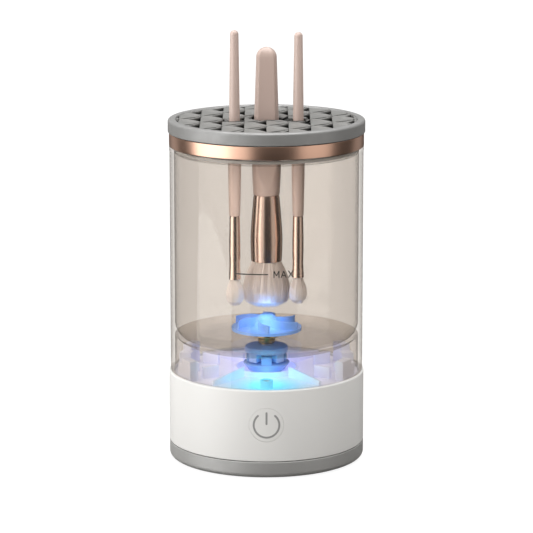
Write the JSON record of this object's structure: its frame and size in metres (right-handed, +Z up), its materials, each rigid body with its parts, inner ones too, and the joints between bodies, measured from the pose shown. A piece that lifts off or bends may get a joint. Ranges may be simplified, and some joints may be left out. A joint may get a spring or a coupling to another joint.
{
  "type": "makeup brush cleaner",
  "caption": "Round electric brush cleaner: motor base, clear tank with a spinning impeller, and a lift-off lid whose soft flaps hold brushes upright.",
  "frame": {"origin": "centre of the foot, on the surface it stands on", "axes": "+Z up along the tank's axis, -Y towards the power button at the front, +X to the right seen from the front"},
  "size_m": [0.1002, 0.1002, 0.2208],
  "materials": {
    "white_plastic": "satin white",
    "grey_plastic": "matt grey",
    "foot_rubber": "matt",
    "frosted_plastic": "frosted",
    "clear_plastic": "clear",
    "silicone": "matt silicone",
    "rose_gold": "polished rose gold",
    "nude_lacquer": "satin lacquer",
    "bristle": "fine hair",
    "steel": "bright",
    "brass": "plain",
    "black_plastic": "matt",
    "circuit_green": "solder mask",
    "battery_foil": "foil",
    "lead_red": "insulation",
    "symbol_grey": "printed",
    "blue_clear": "clear, lit blue",
    "lamp": "lit"
  },
  "bodies": {
    "base": {"base_housing": "white_plastic", "bottom_cover": "grey_plastic", "foot_ring": "foot_rubber", "light_deck": "frosted_plastic", "deck_seal": "foot_rubber", "motor": "steel", "motor_bracket": "steel", "battery_cradle": "black_plastic", "battery_pack": "battery_foil", "circuit_board": "circuit_green", "tact_switch": "black_plastic", "port_board": "circuit_green", "charging_port": "steel", "light_board": "circuit_green", "battery_lead": "lead_red", "motor_lead": "lead_red", "cover_screw_1": "steel", "deck_screw_1": "steel", "light_1": "lamp", "cover_screw_2": "steel", "deck_screw_2": "steel", "light_2": "lamp", "cover_screw_3": "steel", "deck_screw_3": "steel", "light_3": "lamp", "cover_screw_4": "steel", "deck_screw_4": "steel", "light_4": "lamp", "motor_screw_1": "steel", "bracket_screw_1": "steel", "motor_screw_2": "steel", "bracket_screw_2": "steel"},
    "power_button": {"button_cap": "white_plastic", "power_symbol_ring": "symbol_grey", "power_symbol_bar": "symbol_grey"},
    "drive": {"motor_shaft": "steel", "drive_coupling": "blue_clear"},
    "tank": {"tank": "clear_plastic", "floor_bush": "brass", "shaft_seal": "foot_rubber"},
    "impeller": {"impeller": "blue_clear", "impeller_shaft": "steel", "shaft_clip": "steel", "driven_coupling": "white_plastic"},
    "lid": {"lid_frame": "clear_plastic", "lid_gasket": "silicone", "trim_ring": "rose_gold", "brush_holder": "silicone"},
    "left_brush": {"left_handle": "nude_lacquer", "left_ferrule": "rose_gold", "left_bristles": "bristle"},
    "middle_brush": {"middle_handle": "nude_lacquer", "middle_ferrule": "rose_gold", "middle_bristles": "bristle"},
    "right_brush": {"right_handle": "nude_lacquer", "right_ferrule": "rose_gold", "right_bristles": "bristle"}
  },
  "joints": [
    {"name": "button_press", "type": "slide", "parent": "base", "child": "power_button", "axis": [0, 1, 0], "range_m": [0, 0.0008], "stiffness_N_per_m": 500},
    {"name": "drive_spin", "type": "hinge", "parent": "base", "child": "drive", "pos_m": [0, 0, 0.045], "axis": [0, 0, 1], "continuous": true},
    {"name": "tank_lift", "type": "slide", "parent": "base", "child": "tank", "axis": [0, 0, 1], "range_m": [0, 0.04]},
    {"name": "impeller_spin", "type": "hinge", "parent": "tank", "child": "impeller", "pos_m": [0, 0, 0.066], "axis": [0, 0, 1], "continuous": true},
    {"name": "lid_lift", "type": "slide", "parent": "tank", "child": "lid", "axis": [0, 0, 1], "range_m": [0, 0.1]},
    {"name": "left_brush_slide", "type": "slide", "parent": "lid", "child": "left_brush", "axis": [0, 0, 1], "range_m": [0, 0.035]},
    {"name": "middle_brush_slide", "type": "slide", "parent": "lid", "child": "middle_brush", "axis": [0, 0, 1], "range_m": [0, 0.03]},
    {"name": "right_brush_slide", "type": "slide", "parent": "lid", "child": "right_brush", "axis": [0, 0, 1], "range_m": [0, 0.035]}
  ],
  "couplings": [
    {"joint": "impeller_spin", "follows": "drive_spin", "ratio": 1}
  ]
}
